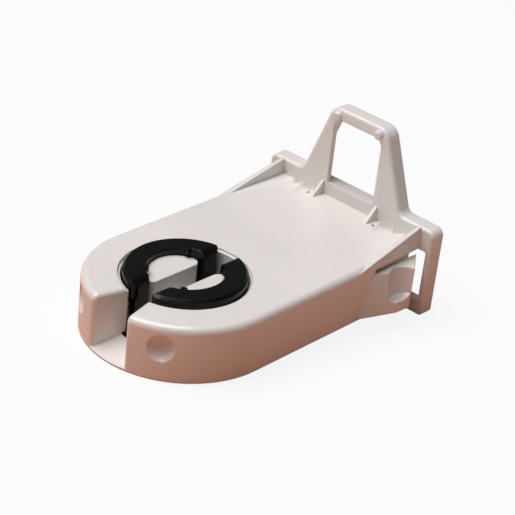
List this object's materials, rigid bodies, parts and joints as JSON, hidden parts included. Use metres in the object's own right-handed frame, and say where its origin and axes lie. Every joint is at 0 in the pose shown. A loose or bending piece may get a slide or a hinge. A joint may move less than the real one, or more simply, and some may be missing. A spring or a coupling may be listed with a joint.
{
  "type": "fluorescent tube lamp holder",
  "caption": "Rotary push-through lamp holder for fluorescent tubes with two-pin caps: flat rounded housing, turning pin rotor and a snap-in mounting foot with a loop.",
  "frame": {"origin": "where the lamp axis meets the back of the holder", "axes": "+X from the lamp axis towards the mounting foot, +Y across the holder, +Z out of the front face along the lamp axis"},
  "size_m": [0.0462, 0.0306, 0.0239],
  "materials": {
    "white_plastic": "smooth moulded plastic, semi-gloss",
    "black_plastic": "smooth moulded plastic, semi-gloss",
    "contact_bronze": "rolled spring bronze"
  },
  "bodies": {
    "holder": {"housing": "white_plastic", "back_cover": "white_plastic", "contact_left": "contact_bronze", "contact_right": "contact_bronze"},
    "rotor": {"rotor": "black_plastic"}
  },
  "joints": [
    {"name": "rotor_turn", "type": "hinge", "parent": "holder", "child": "rotor", "pos_m": [0, 0, 0], "axis": [0, 0, 1], "range_deg": [-90, 90]}
  ]
}
